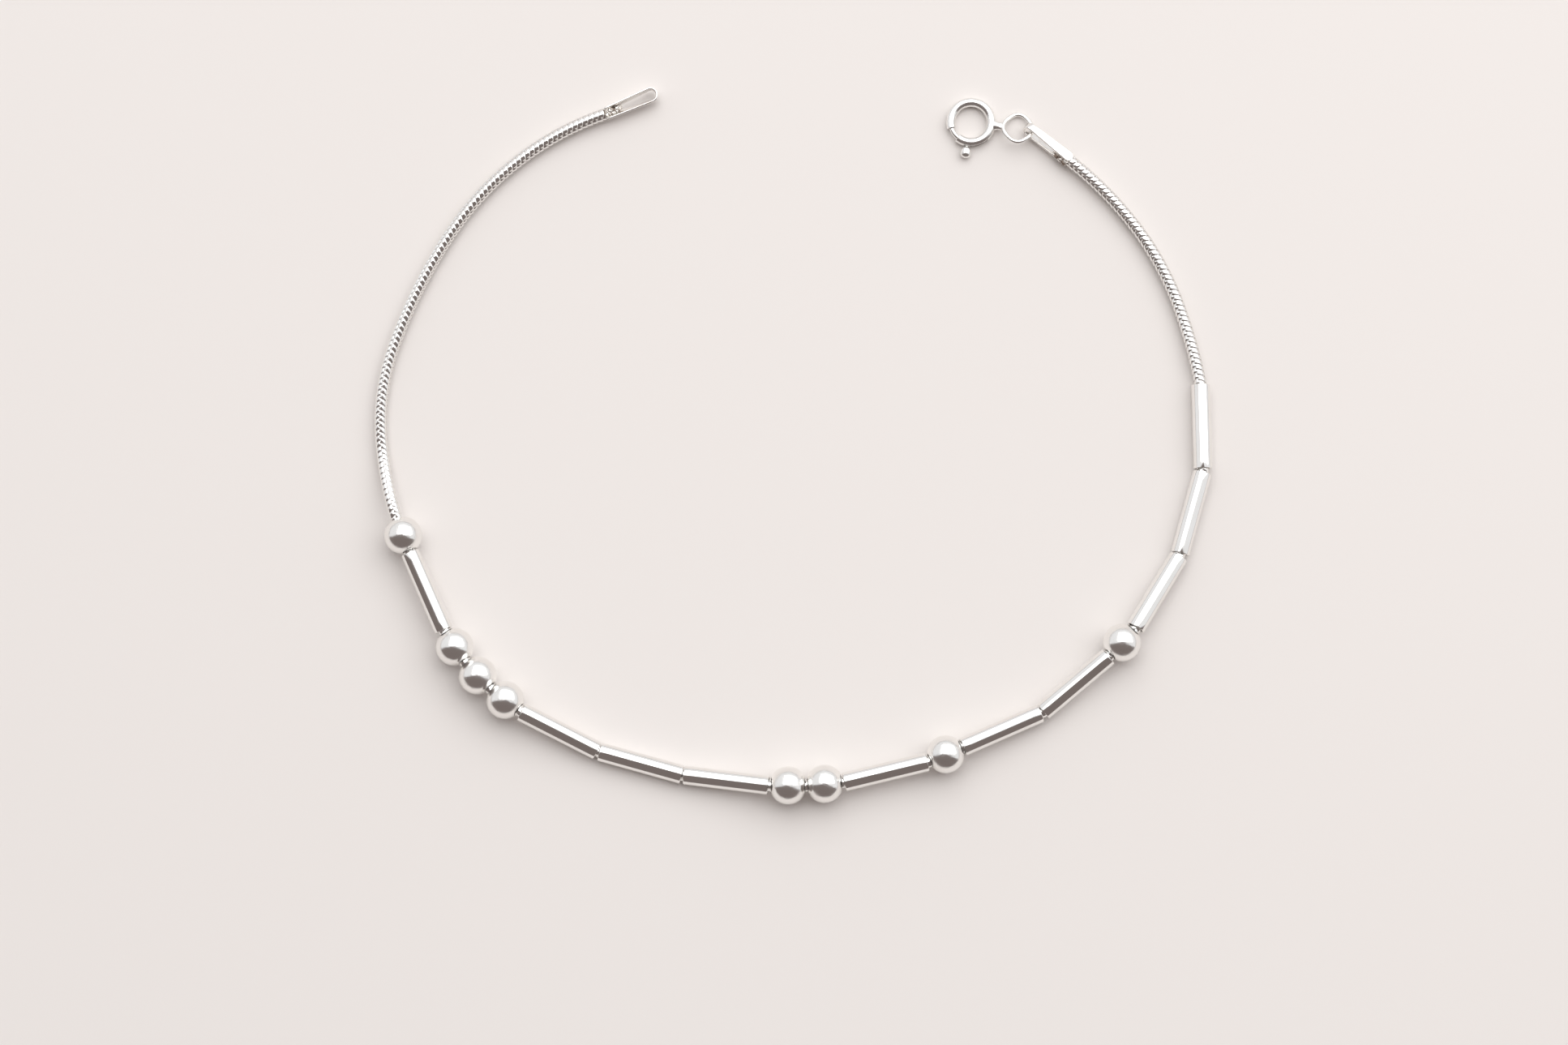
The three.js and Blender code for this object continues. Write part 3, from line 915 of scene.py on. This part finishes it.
bolt_points = bolt_rings()
bolt_faces = skin(*bolt_points.shape[:2])
place_on_clasp("bolt_wire", bolt_points, bolt_faces, "clasp_bolt", "clasp_bolt", ROUND_EDGE)
knob_points = knob_rings()
knob_faces = skin(*knob_points.shape[:2])
knob_points = placed(knob_points, np.array((RING_CENTRE, 0, 0)), math.radians(KNOB_ANGLE))
place_on_clasp("thumb_knob", knob_points, knob_faces, "clasp_bolt", "clasp_bolt", ROUND_EDGE)

# Table top, light and camera: a plain pale cream surface in a room that is light grey all round but for
# its dim near side, under one soft panel. The camera looks almost straight down.
FLOOR_HALF = 3.0
FLOOR_CREAM = (0.86, 0.815, 0.783, 1.0)
FLOOR_ROUGHNESS = 0.9
ROOM_DIM = (0.184, 0.154, 0.145, 1.0)
ROOM_LIGHT = (0.84, 0.84, 0.85, 1.0)
ROOM_SKYLINE = (0.46, 0.43, 0.42, 1.0)
ROOM_EDGE = (0.02, 0.06)
SKYLINE_EDGE = (0.05, 0.10)
LIGHT_SIDES = (66, 100)
PANEL_HEIGHT = 0.6
PANEL_FROM = (-0.35, 0.03)
PANEL_TO = (1.1, 1.05)
PANEL_GLOW = 1.5
CAMERA_AIM = (-0.000692, -0.00629, 0.00075)
CAMERA_DISTANCE = 0.264
CAMERA_TILT = 5
CAMERA_FOCUS = 4100
CAMERA_NEAREST = 0.01
IMAGE_WIDTH = 1934


def table_finish():
    material = bpy.data.materials.new("table_cream")
    material.use_nodes = True
    material.node_tree.nodes.clear()
    wire = Wire(material.node_tree)
    surface = wire.node(
        "ShaderNodeBsdfPrincipled", {}, {"Base Color": FLOOR_CREAM, "Roughness": FLOOR_ROUGHNESS}
    )
    wire.node("ShaderNodeOutputMaterial", {}, {"Surface": surface})
    return material


def light_room():
    """A world that is dim only where it lies away from both light sides, and darker by the skyline."""
    room = bpy.data.worlds.new("room")
    room.use_nodes = True
    room.node_tree.nodes.clear()
    wire = Wire(room.node_tree)
    towards = wire.node("ShaderNodeTexCoord", {}, {}, "Generated")
    dim = 1.0
    for heading in LIGHT_SIDES:
        dim = dim * (1 - towards.facing(direction(math.radians(heading))).between(*ROOM_EDGE))
    walls = dim.tint(ROOM_LIGHT, ROOM_DIM)
    above = towards.facing(UP).between(*SKYLINE_EDGE)
    glow = wire.node("ShaderNodeBackground", {}, {"Color": above.tint(ROOM_SKYLINE, walls)})
    wire.node("ShaderNodeOutputWorld", {}, {"Surface": glow})
    return room


low_corner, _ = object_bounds()
level = low_corner.z / MM
reach = FLOOR_HALF / MM
table_corners = ((-reach, -reach), (reach, -reach), (reach, reach), (-reach, reach))
floor_points = [(x, y, level) for x, y in table_corners]
make_piece("table_top", floor_points, [(0, 1, 2, 3)], table_finish())
bpy.context.scene.world = light_room()

panel_x, panel_y = np.subtract(PANEL_TO, PANEL_FROM)
panel_middle = np.add(PANEL_TO, PANEL_FROM) / 2
panel = bpy.data.lights.new("soft_panel", "AREA")
panel.shape = "RECTANGLE"
panel.size = panel_x
panel.size_y = panel_y
panel.energy = PANEL_GLOW * math.pi * panel_x * panel_y
panel_lamp = bpy.data.objects.new("soft_panel", panel)
panel_lamp.location = (*panel_middle, PANEL_HEIGHT)
bpy.context.scene.collection.objects.link(panel_lamp)

lens = bpy.data.cameras.new("overhead")
lens.lens = lens.sensor_width * CAMERA_FOCUS / IMAGE_WIDTH
lens.clip_start = CAMERA_NEAREST
camera = bpy.data.objects.new("overhead", lens)
tilt = math.radians(CAMERA_TILT)
back = Vector((0, -math.sin(tilt), math.cos(tilt)))
camera.location = Vector(CAMERA_AIM) + back * CAMERA_DISTANCE
camera.rotation_euler = (tilt, 0, 0)
bpy.context.scene.collection.objects.link(camera)
bpy.context.scene.camera = camera
bpy.context.scene.view_settings.view_transform = "Standard"
